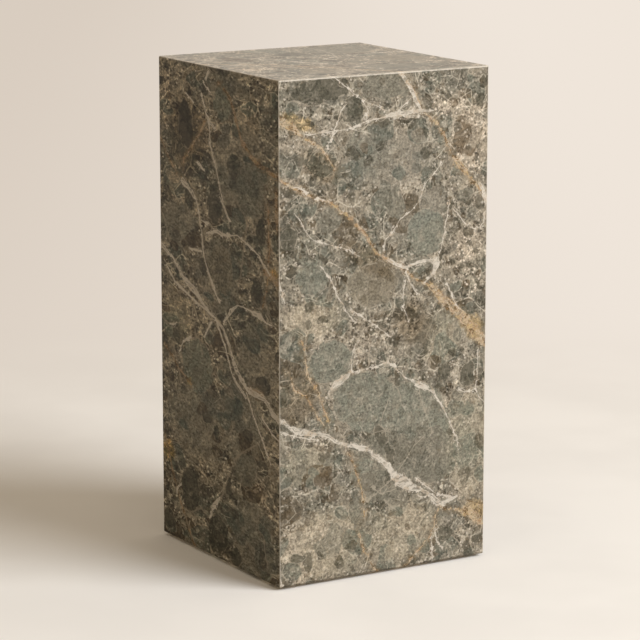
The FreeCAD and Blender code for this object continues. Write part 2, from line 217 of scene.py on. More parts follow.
FRONT_VEINS = {
    "gold": (
        (3.4, (205, 750), (212, 742), (226, 725), (239, 702), (241, 695), (250, 685), (260, 680),
         (275, 662), (290, 635), (297, 620), (307, 607, 8), (325, 587, 8), (345, 567), (360, 552)),
        (3.4, (0, 694, 12), (10, 687, 12), (25, 680, 9), (47, 662), (60, 656), (72, 647), (80, 637),
         (87, 625), (92, 616)),
        (4, (0, 610), (22, 595), (45, 585), (60, 577), (85, 570), (102, 554), (122, 542),
         (140, 524), (147, 512), (162, 492), (170, 485), (190, 475), (210, 461, 8), (232, 442),
         (255, 432), (270, 420, 12), (295, 395, 16), (312, 382, 15), (325, 370, 16),
         (340, 352, 16), (360, 333, 14)),
        (3, (37, 370), (42, 355), (47, 330), (52, 312), (60, 300), (75, 270), (84, 242)),
        (2.4, (15, 325), (27, 300), (45, 287), (57, 267), (65, 252), (75, 240)),
        (3, (115, 195), (125, 180), (130, 165), (141, 135), (145, 117), (145, 92)),
        (2.2, (135, 75), (142, 45), (150, 32), (160, 15), (170, 0)),
        (2.2, (277, 87), (272, 75), (270, 57), (250, 32), (232, 19), (215, 2)),
        (3.4, (282, 87), (300, 82), (320, 76, 10), (335, 72, 16), (350, 60, 12), (360, 47)),
        (2.4, (330, 92), (345, 84), (360, 80)),
    ),
    "white": (
        (2.2, (45, 670), (80, 671), (112, 672), (130, 673), (142, 679), (160, 684), (175, 686),
         (190, 689, 6), (217, 690, 7), (240, 692, 5), (262, 688)),
        (1.9, (200, 690), (215, 685), (240, 683)),
        (2.4, (206, 750, 5), (216, 736, 6), (226, 718, 7), (235, 702, 5), (243, 691)),
        (1.9, (90, 750), (105, 740), (120, 727), (135, 717), (150, 709), (165, 702), (180, 696)),
        (1.6, (147, 682), (150, 700), (142, 712)),
        (1.6, (222, 710), (205, 696)),
        (1.9, (100, 672), (90, 665), (86, 657), (82, 650), (81, 640)),
        (1.9, (112, 709), (105, 702), (100, 690), (92, 670)),
        (2.4, (22, 595), (32, 595), (45, 587)),
        (2.4, (60, 577), (72, 575), (85, 570)),
        (6, (190, 475), (200, 467), (212, 462), (220, 461, 5), (240, 467, 5), (257, 467, 5),
         (268, 463, 9), (262, 445, 4), (252, 435, 3)),
        (1.9, (217, 452), (225, 435), (237, 420)),
        (1.9, (270, 466), (277, 485), (282, 505), (285, 525), (290, 545), (292, 555)),
        (1.8, (277, 610), (265, 597), (247, 580), (242, 565), (235, 554), (220, 542), (205, 532),
         (192, 515), (182, 506), (180, 492)),
        (2.2, (300, 540), (310, 530), (320, 517), (337, 507), (347, 509), (353, 517), (355, 530)),
        (1.8, (27, 557), (37, 545), (50, 522), (60, 514), (87, 506), (105, 500), (137, 486)),
        (2.2, (0, 467), (5, 447), (10, 427)),
        (1.9, (70, 477), (77, 467), (86, 457), (90, 447), (100, 430), (117, 400), (125, 390)),
        (1.9, (120, 407), (140, 395), (150, 387), (170, 375), (190, 360)),
        (1.8, (215, 440), (212, 425), (215, 400), (222, 380)),
        (1.8, (290, 427), (300, 407), (310, 390)),
        (2, (82, 280), (86, 290, 5), (96, 299, 8), (108, 304, 10), (118, 309, 5), (122, 314),
         (140, 316), (165, 319), (186, 322, 3), (197, 314, 4), (203, 306), (215, 297, 3),
         (226, 290), (238, 282, 9), (252, 276, 8), (258, 270), (267, 266, 5), (277, 255),
         (286, 238, 3), (290, 228), (295, 220, 4), (302, 205), (309, 192), (312, 178)),
        (1.9, (122, 315), (122, 330), (125, 345), (135, 362)),
        (6, (0, 257, 6), (20, 242), (37, 235, 13), (60, 230), (87, 220), (100, 212), (120, 205),
         (150, 195, 8), (162, 185), (175, 175), (190, 160, 11), (200, 145, 14), (215, 135, 17),
         (230, 127, 13), (245, 120), (260, 110), (272, 97, 11), (282, 92), (295, 95, 6),
         (310, 100, 4)),
        (2.4, (235, 140), (260, 120), (275, 107), (300, 100, 3)),
        (2.2, (0, 240), (20, 232), (40, 225), (65, 220)),
        (1.9, (240, 112), (252, 106)),
        (1.9, (265, 42), (265, 25), (267, 2)),
        (1.9, (272, 57), (272, 47), (275, 35), (285, 22)),
        (1.9, (347, 325), (345, 300), (342, 275), (342, 264)),
        (1.9, (312, 265), (322, 260), (335, 259), (342, 264), (347, 252), (360, 237)),
        (2.2, (0, 27), (5, 10), (4, 3)),
        (6, (346, 575), (353, 562), (358, 545)),
    ),
    "faint": (
        (2.2, (0, 537), (5, 550), (25, 567), (57, 577)),
        (2.2, (137, 350), (160, 332), (180, 322)),
        (2.2, (50, 337), (57, 352)),
        (1.8, (130, 427), (137, 415)),
        (2.4, (117, 200), (135, 192)),
        (1.8, (190, 267), (182, 252), (175, 235)),
        (1.8, (240, 275), (247, 250), (257, 227), (265, 205)),
        (2.2, (0, 162), (7, 170), (25, 190)),
        (2.2, (180, 112), (190, 102), (200, 95)),
        (2.2, (160, 135), (175, 122), (200, 127)),
        (1.8, (145, 110), (175, 132), (205, 150), (232, 190), (250, 200)),
        (1.8, (312, 175), (317, 150)),
        (1.8, (300, 555), (285, 580), (262, 640), (252, 680)),
    ),
}

# Fragments: (across, up, half width, half height, turn in degrees, tone).
FRONT_PATCHES = (
    (150, 265, 62, 46, -25, "green"), (225, 225, 72, 62, -20, "green"),
    (180, 165, 55, 55, 30, "grey"), (262, 170, 40, 45, 30, "grey"),
    (175, 212, 10, 19, 20, "dark"), (190, 182, 7, 16, 25, "dark"),
    (87, 332, 38, 32, 10, "green"), (70, 732, 50, 18, 5, "dark"), (125, 700, 20, 20, 0, "dark"),
    (180, 730, 42, 20, 0, "grey"), (17, 520, 16, 19, 0, "dark"), (85, 542, 25, 18, 20, "grey"),
    (55, 462, 27, 26, 0, "green"), (160, 442, 42, 32, 0, "warm"), (190, 565, 16, 34, 35, "grey"),
    (250, 510, 32, 36, 0, "green"), (320, 560, 15, 12, 0, "grey"),
    (285, 297, 14, 16, 0, "dark"), (327, 287, 14, 20, 0, "dark"), (77, 160, 15, 17, 0, "brown"),
    (130, 105, 15, 18, 0, "grey"), (142, 167, 22, 10, 30, "green"), (185, 142, 8, 10, 0, "dark"),
    (287, 47, 15, 12, 0, "dark"), (32, 45, 12, 8, 0, "dark"),
    (310, 690, 52, 24, -10, "haze"), (32, 688, 32, 10, -25, "ochre"),
    (345, 76, 22, 14, -15, "ochre"), (336, 360, 26, 16, -42, "ochre"),
    (185, 625, 80, 44, -8, "still"),
    (235, 540, 60, 26, 30, "still"), (60, 400, 50, 30, 0, "pale"), (325, 640, 36, 60, 0, "haze"),
    (330, 460, 30, 60, 10, "haze"), (330, 180, 44, 90, 5, "pale"), (80, 60, 80, 56, 10, "pale"),
    (45, 185, 44, 30, 0, "pale"), (215, 60, 70, 50, 0, "pale"), (280, 350, 36, 40, 0, "pale"),
    (30, 285, 32, 44, 0, "murk"), (230, 375, 40, 30, -40, "murk"), (70, 620, 40, 22, -30, "murk"),
    (150, 480, 60, 18, -30, "murk"),
)

LEFT_VEINS = {
    "gold": (
        (3.4, (185, 727), (205, 720), (220, 710), (232, 692), (245, 670), (255, 650, 7),
         (280, 632), (305, 622, 9), (330, 617, 8), (360, 612)),
        (2.4, (150, 675), (130, 650), (100, 620), (75, 600)),
        (2.2, (0, 630), (30, 600), (55, 580), (80, 570)),
        (2.4, (330, 565), (332, 530), (334, 500), (330, 470), (325, 440), (315, 415)),
        (2.4, (10, 305), (30, 295), (55, 277), (80, 265), (95, 257, 6)),
        (2.4, (10, 160), (30, 115), (50, 80), (75, 40), (100, 5)),
        (6, (320, 470), (338, 467, 12), (360, 457, 7)),
        (6, (353, 590), (355, 560), (354, 540)),
        (4, (260, 288), (290, 284, 9), (312, 284, 6)),
    ),
    "white": (
        (4, (0, 462, 8), (40, 445, 4), (75, 420, 8), (110, 405, 12), (130, 392, 5), (150, 380, 4),
         (170, 375, 4), (195, 362, 6), (210, 345, 5), (225, 320, 7), (245, 300, 9),
         (265, 287, 7), (290, 282, 9), (320, 278, 5), (340, 265, 9), (360, 252, 7)),
        (3, (20, 430, 3), (45, 410), (80, 400), (115, 387), (150, 380, 4)),
        (3, (178, 368, 4), (205, 330, 3), (225, 295, 4), (262, 272, 6)),
        (2.2, (75, 567, 8), (100, 557, 8), (115, 545), (125, 525), (131, 500), (135, 470),
         (145, 450), (160, 430, 6), (175, 410), (185, 405)),
        (1.9, (145, 500), (165, 505), (182, 507, 7), (210, 505), (240, 510), (270, 502, 5),
         (300, 490), (320, 477, 5), (335, 467)),
        (1.8, (132, 517), (155, 515)),
        (2.2, (135, 705), (150, 675, 6), (175, 660, 5)),
        (1.8, (157, 665), (159, 635, 4), (175, 605), (190, 575), (200, 550), (215, 530)),
        (1.9, (140, 725), (160, 712)), (2.4, (85, 702), (110, 690)), (3.4, (150, 732), (157, 740)),
        (2.2, (200, 375), (220, 392, 9), (240, 405)),
        (1.9, (240, 405), (270, 405), (290, 401, 6), (310, 400, 8), (325, 392), (340, 392)),
        (1.9, (118, 602), (130, 597, 5), (140, 592)),
        (1.9, (190, 560), (202, 543, 5), (216, 528)),
        (2.6, (95, 468), (115, 467), (130, 470)),
        (1.9, (60, 303), (70, 317), (82, 325, 6), (95, 330)),
        (1.9, (28, 340), (45, 342), (50, 346)), (2.4, (140, 340), (152, 358), (162, 366)),
        (2.4, (150, 62, 3), (160, 80, 7), (170, 88, 9), (180, 98, 4)),
        (1.8, (265, 280), (285, 250), (310, 220), (335, 185)),
        (2.2, (310, 250, 3), (340, 232), (360, 226)),
        (1.9, (45, 75), (47, 87, 6), (60, 95, 3)),
    ),
    "faint": (
        (2.4, (325, 420), (340, 395)),
        (2.4, (0, 350), (20, 340), (75, 350), (100, 365), (107, 380)),
        (2.4, (95, 330), (120, 335), (130, 315)), (1.8, (130, 215), (150, 180)),
        (2.2, (180, 98), (190, 105), (210, 140), (230, 170), (260, 190), (300, 210)),
        (1.8, (315, 65), (327, 25)), (2.4, (55, 65), (70, 45), (100, 10)),
        (2.4, (60, 260), (50, 290), (40, 310)), (2.4, (270, 540), (262, 500), (250, 450)),
        (2.2, (0, 520), (20, 495), (30, 470)), (2.4, (90, 610), (130, 650), (150, 668)),
        (2.2, (100, 60), (125, 70), (150, 62)),
    ),
}
LEFT_PATCHES = (
    (85, 655, 22, 38, 10, "dark"), (175, 550, 24, 34, -10, "dark"), (232, 610, 22, 20, 0, "dark"),
    (310, 525, 16, 22, 0, "dark"), (297, 433, 17, 24, 0, "dark"), (200, 700, 28, 26, 0, "green"),
    (90, 90, 28, 34, 0, "dark"), (175, 40, 32, 30, 0, "dark"), (308, 40, 10, 12, 0, "dark"),
    (115, 290, 48, 42, 0, "green"), (190, 450, 38, 35, 0, "warm"), (280, 580, 44, 40, 0, "grey"),
    (262, 160, 34, 26, 20, "grey"), (270, 690, 36, 36, 0, "haze"), (210, 210, 30, 20, 0, "haze"),
    (145, 715, 9, 12, 0, "dark"), (175, 200, 9, 14, 0, "dark"), (95, 545, 14, 20, 0, "dark"),
    (60, 560, 34, 34, 0, "haze"), (22, 690, 18, 40, 0, "haze"), (190, 760, 40, 20, 0, "dark"),
    (90, 262, 8, 6, 0, "ochre"), (22, 140, 18, 20, 0, "ochre"), (130, 180, 22, 60, 0, "haze"),
    (300, 100, 40, 50, 0, "haze"), (20, 30, 20, 16, 0, "dark"), (230, 20, 18, 14, 0, "dark"),
    (210, 120, 9, 17, 0, "dark"), (345, 470, 14, 8, 0, "ochre"), (90, 640, 60, 60, 0, "murk"),
    (55, 350, 50, 40, 0, "pale"), (250, 230, 60, 70, -20, "still"), (300, 330, 60, 60, 0, "still"),
    (240, 600, 80, 80, 0, "still"), (110, 200, 90, 60, 0, "still"), (280, 60, 70, 70, 0, "still"),
    (180, 440, 70, 60, 0, "still"), (60, 500, 60, 40, 0, "still"),
)

RIGHT_VEINS = {
    "gold": (
        (12, (0, 333), (25, 318), (55, 300, 11), (80, 292, 8), (105, 270), (130, 262, 7),
         (160, 240), (190, 232, 6), (215, 210, 5), (250, 196), (285, 170, 6), (320, 158, 5),
         (360, 130, 5)),
        (3.4, (60, 750), (75, 725), (95, 705), (105, 680), (130, 665), (150, 640), (185, 625, 7),
         (215, 600), (250, 590, 6), (290, 560), (325, 550), (360, 520)),
        (2.4, (130, 480), (120, 440), (100, 400), (95, 350), (80, 292)),
        (3, (0, 47), (25, 38), (50, 20), (62, 0)),
    ),
    "white": (
        (2.6, (0, 552), (20, 540), (45, 530), (70, 512, 8), (100, 505), (130, 480, 7), (165, 470),
         (200, 442), (235, 432, 9), (270, 405), (300, 398), (330, 372), (360, 360)),
        (2.6, (0, 237), (20, 225), (50, 215, 10), (85, 190), (120, 180, 9), (150, 150), (185, 140),
         (230, 105), (260, 98, 9), (300, 60), (330, 45), (345, 0)),
        (2.2, (0, 690), (40, 700), (75, 725), (100, 738), (120, 750)),
        (2.2, (95, 705), (140, 712), (190, 700), (240, 708), (300, 690), (360, 700)),
        (1.9, (190, 232), (200, 270), (220, 300), (225, 340), (245, 370), (250, 400), (235, 432)),
        (1.9, (215, 600), (225, 560), (220, 520), (235, 480), (235, 432)),
        (1.9, (0, 80), (25, 88), (60, 70), (95, 62), (150, 60)),
    ),
    "faint": (
        (2.2, (150, 150), (140, 110), (150, 60), (140, 0)),
        (2.2, (300, 690), (310, 640), (300, 600), (290, 560)),
        (2.2, (20, 540), (35, 580), (30, 630), (45, 660), (40, 700)),
        (2.2, (285, 170), (300, 215), (320, 260), (360, 300)),
        (1.8, (50, 215), (40, 170), (55, 130), (50, 90)),
    ),
}
RIGHT_PATCHES = (
    (270, 300, 60, 54, 20, "green"), (60, 430, 34, 40, 0, "dark"), (190, 540, 30, 26, 20, "dark"),
    (60, 120, 36, 28, 0, "brown"), (310, 470, 28, 34, 0, "green"), (200, 80, 34, 30, 0, "green"),
    (140, 350, 20, 28, 0, "dark"), (320, 225, 22, 28, 0, "grey"), (40, 620, 24, 30, 0, "green"),
    (250, 650, 34, 22, 0, "grey"), (120, 590, 30, 28, 0, "warm"), (170, 190, 14, 12, 0, "dark"),
    (330, 620, 14, 18, 0, "dark"), (90, 20, 14, 10, 0, "dark"), (290, 110, 12, 16, 0, "dark"),
    (185, 330, 40, 30, 0, "haze"), (300, 40, 40, 24, 0, "haze"), (60, 560, 40, 24, 0, "cream"),
    (190, 730, 40, 14, 0, "grey"), (320, 340, 20, 12, 0, "ochre"),
)

BACK_VEINS = {
    "gold": (
        (3.4, (0, 360), (30, 345), (70, 340), (105, 318, 7), (150, 312), (185, 290), (225, 285),
         (260, 300), (300, 305), (330, 318), (360, 305)),
        (3, (0, 700), (50, 690), (95, 702), (140, 680, 6), (180, 690), (220, 660), (270, 655),
         (310, 640), (360, 630)),
        (2.4, (140, 680), (150, 630), (140, 590), (155, 550), (140, 498)),
        (2.4, (360, 160), (330, 150), (290, 130), (250, 135), (220, 100), (180, 90), (150, 50)),
    ),
    "white": (
        (2.6, (0, 520), (35, 500), (70, 492), (100, 505), (140, 498, 8), (180, 515, 8), (215, 505),
         (250, 490, 9), (290, 492, 11), (325, 475, 12), (360, 462, 14)),
        (2.6, (215, 505), (245, 470), (280, 455), (320, 440, 8), (360, 430, 9)),
        (2.4, (0, 130), (40, 118), (80, 122, 8), (120, 150), (160, 160, 8), (190, 190), (230, 205),
         (260, 240), (290, 262), (300, 305)),
        (1.9, (0, 130), (50, 100), (90, 60), (120, 40), (150, 0)),
        (1.9, (260, 750), (250, 715), (220, 660)),
        (1.9, (70, 340), (60, 300), (75, 250), (60, 200), (80, 122)),
    ),
    "faint": (
        (2.2, (225, 285), (215, 240), (230, 205)), (2.2, (330, 318), (345, 335), (360, 350)),
        (2.2, (35, 500), (25, 560), (40, 620), (50, 690)),
        (2.2, (290, 492), (300, 560), (270, 655)),
        (2.2, (120, 40), (180, 60), (240, 30), (300, 40), (360, 20)),
    ),
}
BACK_PATCHES = (
    (110, 405, 58, 50, 10, "green"), (290, 388, 40, 32, 0, "dark"), (60, 590, 32, 30, 0, "dark"),
    (255, 590, 40, 36, 0, "green"), (210, 400, 28, 34, 0, "warm"), (120, 240, 46, 38, 0, "grey"),
    (320, 220, 20, 30, 0, "dark"), (250, 60, 38, 28, 0, "dark"), (180, 610, 22, 30, 0, "dark"),
    (40, 50, 28, 26, 0, "brown"), (330, 700, 26, 22, 0, "grey"), (190, 240, 12, 16, 0, "dark"),
    (100, 730, 30, 14, 0, "green"), (20, 440, 14, 24, 0, "dark"), (200, 130, 20, 16, 0, "grey"),
    (320, 560, 30, 30, 0, "haze"), (60, 200, 30, 24, 0, "haze"), (300, 110, 34, 20, 0, "cream"),
)

# The top is seen from above, with the front edge below: across, then back from the front edge.
TOP_VEINS = {
    "gold": (
        (3.4, (205, 0), (190, 25), (165, 55), (150, 90), (110, 130), (95, 165), (60, 190),
         (0, 225)),
    ),
    "white": (
        (2.4, (80, 285), (105, 250), (125, 215), (150, 160, 7), (175, 125), (190, 80), (200, 40)),
        (2.2, (0, 205), (25, 190), (60, 190)),
        (2.6, (300, 225), (330, 220, 9), (360, 210)),
        (2.2, (90, 0), (70, 30), (40, 55), (0, 60)),
        (1.9, (190, 190), (220, 210), (260, 215), (300, 225)),
    ),
    "faint": (
        (2.4, (50, 120), (75, 130), (110, 130)),
        (2.4, (240, 360), (250, 300), (240, 250), (225, 210)),
        (2.4, (175, 125), (215, 120), (270, 90), (360, 80)), (2.4, (0, 310), (60, 320), (120, 360)),
    ),
}
TOP_PATCHES = (
    (275, 290, 60, 50, 0, "grey"), (75, 250, 22, 34, 0, "brown"), (230, 60, 60, 34, 0, "grey"),
    (110, 70, 30, 26, 0, "warm"), (300, 150, 40, 34, 0, "warm"), (40, 130, 26, 20, 0, "haze"),
    (180, 270, 26, 22, 0, "dark"), (160, 330, 30, 16, 0, "green"), (80, 30, 16, 12, 0, "dark"),
)

# How each tone of patch lies on the stone: its colour, how far it covers what is under it, how
# soft its edge is and how much it calms the grain inside.
PATCH_TONES = {
    "green": (srgb(129, 127, 113), 0.88, 0.05, 0.62),
    "grey": (srgb(124, 119, 105), 0.85, 0.06, 0.62),
    "dark": (srgb(96, 92, 79), 0.92, 0.07, 0.74),
    "brown": (srgb(98, 86, 69), 0.85, 0.07, 0.60),
    "warm": (srgb(134, 125, 108), 0.85, 0.06, 0.68),
}

# Soft zones tint whatever lies in them, and some calm it.
ZONES = {
    "cream": ((1.35, 1.31, 1.28, 1), 0.3),
    "haze": ((1.28, 1.25, 1.24, 1), 0.0),
    "ochre": ((1.28, 1.12, 0.84, 1), 0.0),
    "murk": ((0.74, 0.70, 0.64, 1), 0.0),
    "still": ((0.98, 1.00, 1.02, 1), 0.62),
    "pale": ((1.26, 1.25, 1.22, 1), 0.50),
}
ZONE_EDGE = (1.25, 0.65)

# The faces: their name, normal axis and its sign, veins, patches, the pattern's offset and what
# is their own. contrast spreads the tones about MEAN_TONE and lift scales them, stretch draws
# the pattern out across, the edge highlight setting is the strength of a painted highlight, a
# pale line on the arrises, joined the least strength of a vein's thin parts, bleach takes the
# white veins to BLEACHED, and loose is how far the patches' outlines wander beyond the usual.
PLAIN_LOOK = {"lift": (1, 1, 1), "stretch": 1.0, "joined": 0.4, "bleach": 0.0, "loose": 0}
FACES = (
    ("front", "y", -1, FRONT_VEINS, FRONT_PATCHES, (1130, 2210, 0),
     {"contrast": 1.25, "lift": (1.08, 1.08, 1.08), "worn": 0.75}),
    ("left", "x", -1, LEFT_VEINS, LEFT_PATCHES, (3470, 870, 0),
     {"contrast": 1.8, "lift": (1.11, 1.14, 1.12), "stretch": 1.7, "worn": 0.1, "joined": 0.8,
      "bleach": 0.75}),
    ("right", "x", 1, RIGHT_VEINS, RIGHT_PATCHES, (5120, 4630, 0),
     {"contrast": 1.2, "worn": 0.6, "loose": 12}),
    ("back", "y", 1, BACK_VEINS, BACK_PATCHES, (7310, 1540, 0),
     {"contrast": 1.2, "worn": 0.4, "loose": 12}),
    ("top", "z", 1, TOP_VEINS, TOP_PATCHES, (2790, 6060, 0),
     {"contrast": 1.4, "lift": (1.08, 1.06, 1.03), "worn": 0.5}),
)
MEAN_TONE = srgb(139, 130, 114)
BLEACHED = srgb(252, 246, 234)

# The honed sides reflect little. The top is polished, and mirrors the pale room at a low angle.
SIDE_IOR = 1.2
TOP_IOR = 1.6

# The ground's own fragments: the size of their cells, how far they reach as a share of it, the
# share of cells with one, how far they cover the ground, and their tones.
DARK, BROWN, GREEN, GREY = (88, 83, 70), (96, 85, 68), (106, 106, 94), (120, 115, 102)
TAUPE, PALE, CREAM = (140, 131, 115), (166, 156, 139), (190, 180, 161)
LARGE_FRAGMENTS = (
    (52, (0.30, 0.58), 0.55, 0.80, ((0, GREEN), (0.35, GREY), (0.6, TAUPE), (0.8, BROWN))),
    (25, (0.26, 0.56), 0.60, 0.80,
     ((0, DARK), (0.25, GREEN), (0.5, GREY), (0.7, TAUPE), (0.88, BROWN))),
)
SMALL_FRAGMENTS = (
    (13, (0.26, 0.58), 0.62, 0.80,
     ((0, DARK), (0.25, GREY), (0.4, BROWN), (0.55, TAUPE), (0.75, PALE))),
    (6.5, (0.25, 0.6), 0.60, 0.55,
     ((0, DARK), (0.25, BROWN), (0.4, GREY), (0.55, TAUPE), (0.8, PALE), (0.95, CREAM))),
)
# Dots: as the fragments, with their strength and their one tone.
DOTS = ((5.5, (0.16, 0.34), 0.32, 0.75, (70, 62, 49)),
        (6.2, (0.12, 0.30), 0.30, 0.80, (200, 190, 173)))
# Fissures: how far apart, how wide, how strong, and how far a vein nearby opens them.
FISSURES = ((84, 1.8, 0.75, 0.05), (44, 1.6, 0.65, 0.07), (24, 1.3, 0.45, 0.10))
STREAK_TURN = math.radians(38)

# A patch is this long across the face's third direction, so that it doesn't end in it.
FLAT = 10000

# A vein's width curve runs from WIDTH_FLOOR, well outside any vein, over WIDTH_RANGE. It falls
# to nothing VEIN_TAPER past the vein's end. A stretched face has wider veins by that power.
WIDTH_FLOOR = -8
WIDTH_RANGE = 32
VEIN_TAPER = 14
STEEPEST_RUN = 3
STRETCH_POWER = 0.8
SAME_PLACE = 1e-6


def runs_of(points):
    """A vein's line, cut into runs that go one way along one of the face's two directions."""
    start = 0
    while start < len(points) - 1:
        best = None
        for axis in (0, 1):
            sign = points[start + 1][axis] - points[start][axis]
            end = start
            while end < len(points) - 1:
                step = points[end + 1][axis] - points[end][axis]
                side = points[end + 1][1 - axis] - points[end][1 - axis]
                if step * sign <= 0 or abs(side) > STEEPEST_RUN * abs(step):
                    break
                end += 1
            if end > start and (best is None or end > best[0]):
                best = (end, axis)
        end, axis = best
        yield axis, points[start:end + 1]
        start = end


def outside_vein(t, place, spans, axis, run, width):
    """How far a place on the face lies outside one run of a vein, less WIDTH_FLOOR."""
    run = sorted(run, key=lambda point: point[axis])
    along, across = place[axis], place[1 - axis]
    length, breadth = spans[axis], spans[1 - axis]
    line, widths = [], []
    for i, point in enumerate(run):
        before, after = run[max(i - 1, 0)], run[min(i + 1, len(run) - 1)]
        lean = (after[1 - axis] - before[1 - axis]) / (after[axis] - before[axis])
        half = (point[2] if len(point) > 2 else width) / 2 * math.hypot(1, lean)
        line.append((point[axis] / length, point[1 - axis] / breadth))
        widths.append((point[axis] / length, (half - WIDTH_FLOOR) / WIDTH_RANGE))
    taper = VEIN_TAPER / length
    # Both curves go on to the face's edges, the line level and the width at nothing.
    for index, edge, step in ((0, 0.0, -taper), (len(line), 1.0, taper)):
        end, end_width = line[index and -1], widths[index and -1]
        if abs(end[0] - edge) > SAME_PLACE:
            line.insert(index, (edge, end[1]))
            widths.insert(index, (min(max(end_width[0] + step, 0.0), 1.0), 0.0))
            index = index and index + 1
            if abs(widths[index and -1][0] - edge) > SAME_PLACE:
                widths.insert(index, (edge, 0.0))
    away = t.math("ABSOLUTE", t.slope(t.curve(along, line), -breadth, across))
    return t.slope(t.curve(along, widths), -WIDTH_RANGE, away)


def outside_veins(t, place, unit, spans, veins, stretch):
    """How far a place lies outside the nearest of these veins, below 0 inside one."""
    nearest = None
    for width, *points in veins:
        for axis, run in runs_of(points):
            # The curve's own input is the place as a share of the face.
            value = outside_vein(t, (unit[0], place[1]) if axis == 0 else (place[0], unit[1]),
                                 spans, axis, run, width * stretch ** STRETCH_POWER)
            nearest = value if nearest is None else t.math("MINIMUM", nearest, value)
    return t.math("SUBTRACT", nearest, WIDTH_FLOOR)


# ---------------------------------------------------------------- the stone

def fragments(t, place, size, reach, share, tones):
    """Rounded fragments in a share of cells about size across: inside one, its tone, its rim."""
    cell = t.cells(place, size)
    pick = t.channels(cell["Color"])
    gap = t.math("SUBTRACT", cell["Distance"], t.straight(pick[1], 0, 1, *reach))
    chosen = t.math("GREATER_THAN", pick[2], 1 - share)
    # The edge is soft over a millimetre or two, and the rim is about as wide.
    inside = t.times(t.smooth(gap, 0.9 / size, -0.9 / size), chosen)
    rim = t.times(t.smooth(t.math("ABSOLUTE", gap), 1.6 / size, 0.5 / size), chosen)
    return inside, t.ramp(pick[0], *tones, steps=True), rim


def stone_ground():
    """The stone between its large veins: fragments of many sizes, grain and fine fissures."""
    group = bpy.data.node_groups.new("stone_ground", "ShaderNodeTree")
    t = Tree(group, "2D")
    for in_out, sockets in (("INPUT", {"Place": "Vector", "Tone": "Color", "Cover": "Float",
                                       "Calm": "Float", "Near": "Float"}),
                            ("OUTPUT", {"Color": "Color", "Grain": "Float", "Break": "Float",
                                        "Streak": "Float"})):
        for name, kind in sockets.items():
            group.interface.new_socket(name, in_out=in_out, socket_type="NodeSocket" + kind)
    source = t.node("NodeGroupInput").outputs
    place = source["Place"]

    # The pattern's place, moved in two ways: for clouds, and for fragments with firm outlines.
    bend = t.colours(place, 38, 1.0)
    fine = t.colours(place, 4.2, 2.0, 0.6)
    warped = t.shift(place, t.colours(place, 70, 3.0, 0.55), 26)
    warped = t.shift(warped, t.colours(place, 15, 3.0, 0.6), 7)
    angular = t.shift(t.shift(place, bend, 9), fine, 1.2)

    # The ground: warm taupe, with greenish and browner regions.
    colour = t.ramp(t.noise(warped, 110, 4.0, 0.55), (0.32, (122, 118, 104)),
                    (0.43, (134, 127, 112)), (0.52, (143, 134, 118)), (0.61, (149, 139, 122)),
                    (0.72, (159, 148, 131)))

    # Rounded fragments, with the placed ones between the large and the small.
    lively = t.math("SUBTRACT", 1.0, source["Calm"])
    gate = t.noise(place, 20, 3.0, 0.65)
    rims = 0.0
    for size, reach, share, cover, tones in LARGE_FRAGMENTS:
        inside, tone, rim = fragments(t, angular, size, reach, share, tones)
        colour = t.mix(t.times(inside, cover), colour, tone)
        rims = t.larger(rims, t.times(rim, lively))
        # A large fragment is calmer inside.
        lively = t.slope(t.times(lively, inside), -0.35, lively)
    colour = t.mix(source["Cover"], colour, source["Tone"])
    for size, reach, share, cover, tones in SMALL_FRAGMENTS:
        inside, tone, _ = fragments(t, angular, size, reach, share, tones)
        colour = t.mix(t.times(inside, t.times(lively, cover)), colour, tone)

    # Grain: grit a few millimetres across, chips of one tone each, and softer mottling.
    mottle = t.noise(warped, 13, 5.0, 0.7)
    grit = t.noise(place, 3.6, 3.0, 0.75)
    chips = t.channels(t.cells(angular, 4.0)["Color"])[0]
    lightness = t.times(t.straight(mottle, 0.36, 0.64, -0.34, 0.34), lively)
    for part in (t.straight(grit, 0.36, 0.64, -0.26, 0.26), t.straight(chips, 0, 1, 0.84, 1.16)):
        lightness = t.math("ADD", lightness, part)
    colour = t.node("ShaderNodeVectorMath", {0: colour, "Scale": lightness},
                    operation="SCALE").outputs[0]

    # Dots a millimetre or two across, dark and pale.
    for size, reach, share, strength, tone in DOTS:
        dots = fragments(t, t.shift(place, fine, 1.6), size, reach, share, ((0, tone),))[0]
        colour = t.mix(t.times(dots, t.times(lively, strength)), colour, srgb(*tone))

    # Pale rims round some fragments, and fine straight fissures.
    colour = t.mix(t.times(rims, t.smooth(gate, 0.48, 0.58, 0, 0.5)), colour, srgb(184, 174, 156))
    gates = t.channels(t.colours(place, 50, 3.0, 0.6))
    for own_gate, (size, width, strength, near) in zip(gates, FISSURES):
        curved = t.shift(t.shift(place, bend, size / 9), fine, 0.6)
        edge = t.cells(curved, size, "DISTANCE_TO_EDGE")["Distance"]
        line = t.smooth(edge, 0.8 * width / size, 0.2 * width / size)
        opened = t.smooth(t.slope(source["Near"], near, own_gate), 0.52, 0.62)
        line = t.times(line, t.times(opened, t.smooth(gate, 0.42, 0.56, 0.1, 1.0)))
        line = t.times(line, t.slope(source["Calm"], -1.1 * strength, strength))
        colour = t.mix(line, colour, srgb(198, 188, 169))

    # Streaks that run down to the right, for the insides of the veins.
    turned = t.node("ShaderNodeMapping", {"Vector": warped, "Rotation": (0, 0, STREAK_TURN),
                                          "Scale": (0.16, 1.0, 1.0)}).outputs[0]
    streak = t.noise(turned, 4.5, 3.0, 0.6)
    t.node("NodeGroupOutput", {"Color": colour, "Grain": grit, "Break": mottle, "Streak": streak})
    return group


